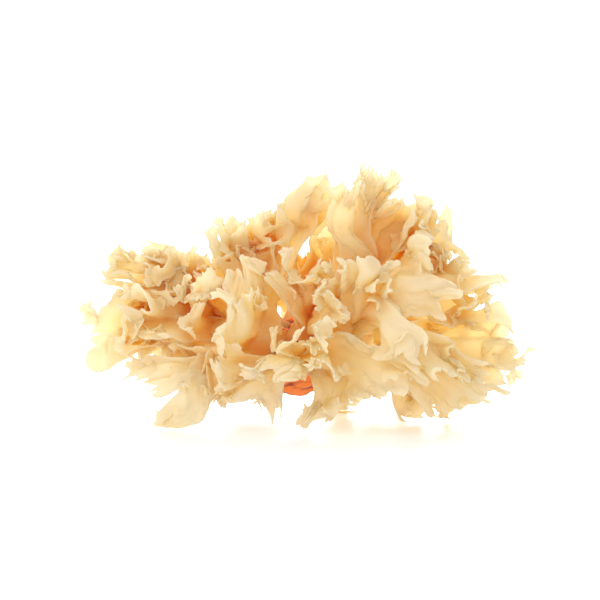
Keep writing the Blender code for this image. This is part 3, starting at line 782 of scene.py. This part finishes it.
def openness_at(points, openness, corner):
    """The openness at points, smoothly between the cells' middles."""
    place = (points - corner) / CELL - 0.5
    first = np.floor(place).astype(int)
    part = place - first
    total = np.zeros(len(points))
    for x in (0, 1):
        for y in (0, 1):
            for z in (0, 1):
                share = np.abs(1 - x - part[:, 0]) * np.abs(1 - y - part[:, 1]) * np.abs(1 - z - part[:, 2])
                total += share * openness[first[:, 0] + x, first[:, 1] + y, first[:, 2] + z]
    return total


def placed(name, data):
    """An object of a mesh, a light or a camera, in the scene."""
    thing = bpy.data.objects.new(name, data)
    bpy.context.scene.collection.objects.link(thing)
    return thing


def new_piece(name, points, faces, finish):
    """An object of points in millimetres and triangles, shaded smooth."""
    mesh = bpy.data.meshes.new(name)
    mesh.vertices.add(len(points))
    mesh.vertices.foreach_set("co", (points * MM).astype(np.float32).ravel())
    mesh.loops.add(3 * len(faces))
    mesh.loops.foreach_set("vertex_index", faces.astype(np.int32).ravel())
    mesh.polygons.add(len(faces))
    mesh.polygons.foreach_set("loop_start", np.arange(0, 3 * len(faces), 3, dtype=np.int32))
    mesh.update()
    mesh.shade_smooth()
    mesh.set_sharp_from_angle(angle=math.radians(SHARP_ANGLE))
    mesh.materials.append(finish)
    return placed(name, mesh)


def carry(mesh, name, values):
    """Gives each point of a mesh a number for its material to read."""
    mesh.attributes.new(name, "FLOAT", "POINT").data.foreach_set("value", values.astype(np.float32))


def new_finish(name, roughness, specular):
    """A material, its nodes, the call that links them, and its surface."""
    finish = bpy.data.materials.new(name)
    finish.use_nodes = True
    nodes, link = finish.node_tree.nodes, finish.node_tree.links.new
    surface = nodes["Principled BSDF"]
    surface.inputs["Roughness"].default_value = roughness
    surface.inputs["Specular IOR Level"].default_value = specular
    return finish, nodes, link, surface


def attribute(nodes, name):
    """The number that a mesh's points carry under a name."""
    node = nodes.new("ShaderNodeAttribute")
    node.attribute_name = name
    return node.outputs["Fac"]


def frond_finish():
    """Dried fungus sheet: thin and translucent, with painted shade that turns it deeper orange where sheets
    crowd round, and a painted highlight that makes it pale at its rims.
    """
    finish, nodes, link, surface = new_finish("frond", 0.5, 0.25)
    through = nodes.new("ShaderNodeBsdfTranslucent")
    both = nodes.new("ShaderNodeMixShader")
    both.inputs["Fac"].default_value = SHEET_LIGHT
    link(surface.outputs["BSDF"], both.inputs[1])
    link(through.outputs["BSDF"], both.inputs[2])
    link(both.outputs["Shader"], nodes["Material Output"].inputs["Surface"])

    def ramp(source, stops):
        node = nodes.new("ShaderNodeValToRGB")
        elements = node.color_ramp.elements
        while len(elements) < len(stops):
            elements.new(0.5)
        for element, (place, color) in zip(elements, stops):
            element.position = place
            element.color = (*color, 1)
        link(source, node.inputs["Fac"])
        return node.outputs["Color"]

    # The openness paints shade: the colours turn darker and deeper orange where sheets crowd round a place
    open_air, rim = attribute(nodes, "open"), attribute(nodes, "rim")

    # Mixes in the rim's paler colour, a painted highlight where the thin margins catch the light
    def rimmed(stops, rim_color):
        node = nodes.new("ShaderNodeMix")
        node.data_type = "RGBA"
        node.inputs["B"].default_value = (*rim_color, 1)
        link(rim, node.inputs["Factor"])
        link(ramp(open_air, stops), node.inputs["A"])
        return node.outputs["Result"]

    link(rimmed(FACE_COLORS_AND_SHADE, RIM_FACE_HIGHLIGHT), surface.inputs["Base Color"])
    link(rimmed(LIGHT_COLORS_AND_SHADE, RIM_LIGHT_HIGHLIGHT), through.inputs["Color"])
    return finish


def base_finish():
    """The tough base: orange-red knobs with dark red creases between them."""
    finish, nodes, link, surface = new_finish("base", 0.35, 0.2)
    grain = nodes.new("ShaderNodeTexNoise")
    grain.inputs["Scale"].default_value = 1200
    place = nodes.new("ShaderNodeTexCoord")
    mottled = nodes.new("ShaderNodeMath")
    mottled.operation = "MULTIPLY_ADD"
    mottled.inputs[1].default_value = 0.5
    ramp = nodes.new("ShaderNodeValToRGB")
    first, last = ramp.color_ramp.elements
    first.position, first.color = 0.25, (*CREASE_COLOR, 1)
    last.position, last.color = 0.95, (*KNOB_COLOR, 1)
    link(place.outputs["Object"], grain.inputs["Vector"])
    link(grain.outputs["Fac"], mottled.inputs[0])
    link(attribute(nodes, "knob"), mottled.inputs[2])
    link(mottled.outputs["Value"], ramp.inputs["Fac"])
    link(ramp.outputs["Color"], surface.inputs["Base Color"])
    return finish


def lobe_aim(lobe):
    """The unit direction from the core to a lobe, halfway between its fork and the middle of its fronds."""
    grid = np.linspace(-1, 1, 9), np.linspace(0, 1, 7)
    middles = [sheet_points(f, *grid).mean(axis=(0, 1)) for f in FRONDS if f.lobe == lobe]
    return unit((np.mean(middles, axis=0) + np.array(FORKS[lobe])) / 2 - CORE)


def stalk_mesh(lobe, seed):
    """A lobe's stalk: a fluted, tapered stem from inside the base to just past the fork, with closed ends."""
    aim = lobe_aim(lobe)
    start, fork = CORE + aim * (BASE_FACE - STALK_DEPTH), np.array(FORKS[lobe], float)
    ahead = unit(fork - start)
    end = fork + ahead * STALK_PAST_FORK
    turn = np.linspace(0, 2 * np.pi, STALK_SIDES, endpoint=False)
    side = unit(np.cross(ahead, (0.3, 0.2, 0.9)))
    up = np.cross(ahead, side)
    wide, narrow = STALK_RADII
    points = []
    for t in np.linspace(0, 1, STALK_RINGS):
        radius = wide + (narrow - wide) * t
        if t > 1 - STALK_CAP:
            radius *= math.sqrt(max(1 - ((t - (1 - STALK_CAP)) / STALK_CAP) ** 2, 0.05))
        flutes = 1 + STALK_FLUTES * ripple(turn * 3 / (2 * np.pi) + 0.4 * t, seed) * (0.3 + 0.7 * t)
        flutes = 1 + (flutes - 1) * np.sin(turn / 2) ** 0.5
        ring = side * np.cos(turn)[:, None] + up * np.sin(turn)[:, None]
        points.append(start + (end - start) * t + ring * (radius * flutes)[:, None])
    points = np.concatenate([*points, start[None], end[None]])
    i = np.arange(STALK_SIDES)
    j = (i + 1) % STALK_SIDES
    faces = []
    for ring in range(STALK_RINGS - 1):
        a, b = ring * STALK_SIDES, (ring + 1) * STALK_SIDES
        faces += [np.stack([a + i, a + j, b + j], -1), np.stack([a + i, b + j, b + i], -1)]
    last = (STALK_RINGS - 1) * STALK_SIDES
    foot, head = np.full(STALK_SIDES, len(points) - 2), np.full(STALK_SIDES, len(points) - 1)
    faces += [np.stack([j, i, foot], -1), np.stack([last + i, last + j, head], -1)]
    return points, np.concatenate(faces)


def crumpled(points):
    """The points after the whole head has crumpled a little in drying, by waves that only shear it."""
    rng = np.random.default_rng(CRUMPLE_SEED)
    moved = points.copy()
    for length, slope in CRUMPLES:
        for _ in range(CRUMPLE_WAVES):
            run = unit(rng.normal(size=3))
            sway = np.cross(run, unit(rng.normal(size=3)))
            size = slope * length / (2 * np.pi) * np.sqrt(2 / CRUMPLE_WAVES)
            wave = np.sin(2 * np.pi * points @ run / length + rng.uniform(0, 2 * np.pi))
            moved += size * unit(sway) * wave[:, None]
    return moved


def above_floor(height):
    """Heights with the low ones squeezed together just above the floor."""
    room = LOW_HEIGHT - LEAST_HEIGHT
    return np.where(height < LOW_HEIGHT, LEAST_HEIGHT + room * np.exp((height - LOW_HEIGHT) / room), height)


def lobe_mesh(lobe, grown_fronds, seed):
    """One lobe's fronds and frills with its stalk, as one mesh, and each point's share of rim."""
    stem, triangles = stalk_mesh(lobe, seed)
    parts = [(stem, triangles, np.zeros(len(stem)))]
    for frond, grid in grown_fronds:
        seed += 31
        points, faces, across, along = frond_mesh(frond, grid, seed)
        # The rim share paints a highlight: the finish makes the margins paler, where thin margins catch the
        # light
        rim = np.clip((np.maximum(along, np.abs(across)) - (1 - RIM_WIDTH)) / RIM_WIDTH, 0, 1) ** 2
        parts.append((points, faces, rim))
    points, faces, rim = joined(parts)
    points = crumpled(points)
    points[:, 2] = above_floor(points[:, 2])
    return points, faces, rim


def make_lobe(lobe, points, faces, rim, open_here, finish):
    """One lobe as a piece that replaces the frame's lobe."""
    piece = new_piece(lobe + "_fronds", points, faces, finish)
    carry(piece.data, "open", open_here)
    carry(piece.data, "rim", rim)
    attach(piece, "root")
    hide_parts(lobe)


def knob_heights(ways):
    """How far the base's knobs stand proud in the given directions, from 0 in a crease to 1 on a top."""
    rng = np.random.default_rng(KNOB_SEED)
    height = np.zeros(len(ways))
    for _ in range(KNOBS):
        size = rng.uniform(*KNOB_ANGLES)
        angle = np.arccos(np.clip(ways @ unit(rng.normal(size=3)), -1, 1))
        height = np.maximum(height, size / KNOB_ANGLES[1] * np.sqrt(np.clip(1 - (angle / size) ** 2, 0, 1)))
    return height


def make_base(finish):
    """The base: a lumpy nugget covered in small knobs, cut flat where it left its wood."""
    shape = bmesh.new()
    bmesh.ops.create_icosphere(shape, subdivisions=6, radius=1)
    ways = unit(np.array([vert.co for vert in shape.verts]))
    lumps = np.array([noise.noise(Vector(way * LUMP_RATE)) for way in ways])
    knobs = knob_heights(ways)
    spots = ways * BASE_RADII * (1 + LUMP_HEIGHT * lumps)[:, None]
    spots = spots + ways * (KNOB_HEIGHT * (knobs - 0.5))[:, None]
    cut = unit(CUT_FACE)
    past = np.clip(spots @ cut - CUT_DEPTH, 0, None)
    spots = CORE + spots - cut * (past * CUT_FLATNESS)[:, None]
    for vert, spot in zip(shape.verts, spots):
        vert.co = Vector(spot * MM)
    mesh = bpy.data.meshes.new("base_nugget")
    shape.to_mesh(mesh)
    shape.free()
    mesh.shade_smooth()
    mesh.materials.append(finish)
    carry(mesh, "knob", knobs)
    piece = placed("base_nugget", mesh)
    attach(piece, "root")
    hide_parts("base")


def make_floor():
    """A plain pale surface for the head to stand on."""
    half = 2.0
    corners = [(-half, -half, 0), (half, -half, 0), (half, half, 0), (-half, half, 0)]
    mesh = bpy.data.meshes.new("floor")
    mesh.from_pydata(corners, [], [(0, 1, 2, 3)])
    finish, _, _, surface = new_finish("floor", 0.3, 0.2)
    surface.inputs["Base Color"].default_value = (0.75, 0.75, 0.75, 1)
    surface.inputs["Emission Color"].default_value = (1, 0.99, 0.98, 1)
    surface.inputs["Emission Strength"].default_value = FLOOR_STRENGTH
    mesh.materials.append(finish)
    floor = placed("floor", mesh)


def aim_at(thing, spot):
    """Turns a camera or light to face a spot."""
    thing.rotation_euler = (Vector(spot) - thing.location).to_track_quat("-Z", "Y").to_euler()


def make_light(name, kind, place, strength):
    """A light that faces the head."""
    light = bpy.data.lights.new(name, kind)
    light.energy = strength
    lamp = placed(name, light)
    lamp.location = place
    aim_at(lamp, LIT_SPOT)
    return light


def make_lights():
    """A soft key from the upper left, and a wide sun from behind, which shines through the margins."""
    make_light("key", "AREA", KEY_PLACE, KEY_STRENGTH).size = KEY_SIZE
    make_light("sun", "SUN", SUN_PLACE, SUN_STRENGTH).angle = math.radians(SUN_ANGLE)


def make_camera():
    """The photograph's view: from the front and slightly above."""
    rise, target = math.radians(CAMERA_RISE), Vector(CAMERA_TARGET)
    camera = bpy.data.cameras.new("camera")
    camera.lens = camera.sensor_width * CAMERA_DISTANCE / VIEW_WIDTH
    camera.clip_start = 0.01
    holder = placed("camera", camera)
    holder.location = target + Vector((0, -math.cos(rise), math.sin(rise))) * CAMERA_DISTANCE
    aim_at(holder, target)
    bpy.context.scene.camera = holder


def make_world():
    """Even light from all round, behind which the backdrop stays white."""
    world = bpy.data.worlds.new("world")
    world.use_nodes = True
    nodes, link = world.node_tree.nodes, world.node_tree.links.new
    light = nodes["Background"]
    light.inputs["Color"].default_value = (1, 1, 1, 1)
    light.inputs["Strength"].default_value = WORLD_STRENGTH
    backdrop = nodes.new("ShaderNodeBackground")
    backdrop.inputs["Color"].default_value = (1, 1, 1, 1)
    backdrop.inputs["Strength"].default_value = BACKDROP_STRENGTH
    both = nodes.new("ShaderNodeMixShader")
    rays = nodes.new("ShaderNodeLightPath")
    link(rays.outputs["Is Camera Ray"], both.inputs["Fac"])
    link(light.outputs["Background"], both.inputs[1])
    link(backdrop.outputs["Background"], both.inputs[2])
    link(both.outputs["Shader"], nodes["World Output"].inputs["Surface"])
    scene = bpy.context.scene
    scene.world = world
    scene.view_settings.view_transform = "Standard"
    scene.cycles.diffuse_bounces = 12
    scene.cycles.max_bounces = 24
    scene.cycles.transmission_bounces = 24


def make_head():
    """The fronds and frills, lobe by lobe, and the base."""
    rng = np.random.default_rng(HEAD_SEED)
    grids = grown(FRONDS, FROND_GRID, FROND_STEPS, rng)
    frills = sprouts(FRONDS, grids, rng) + list(CREST_FRILLS)
    frill_grids = grown(frills, FRILL_GRID, FRILL_STEPS, rng)
    grown_fronds = list(zip((*FRONDS, *frills), (*grids, *frill_grids)))
    meshes = []
    for number, lobe in enumerate(FORKS):
        mine = [(frond, grid) for frond, grid in grown_fronds if frond.lobe == lobe]
        meshes.append(lobe_mesh(lobe, mine, 1000 * number))
    # The openness stands for the shade among the crowded sheets, and the sheets' finish paints it into their
    # colours
    openness, corner = openness_map([(points, faces) for points, faces, _ in meshes])
    finish = frond_finish()
    for lobe, (points, faces, rim) in zip(FORKS, meshes):
        make_lobe(lobe, points, faces, rim, openness_at(points, openness, corner), finish)
    make_base(base_finish())


make_head()
make_world()
make_floor()
make_lights()
make_camera()
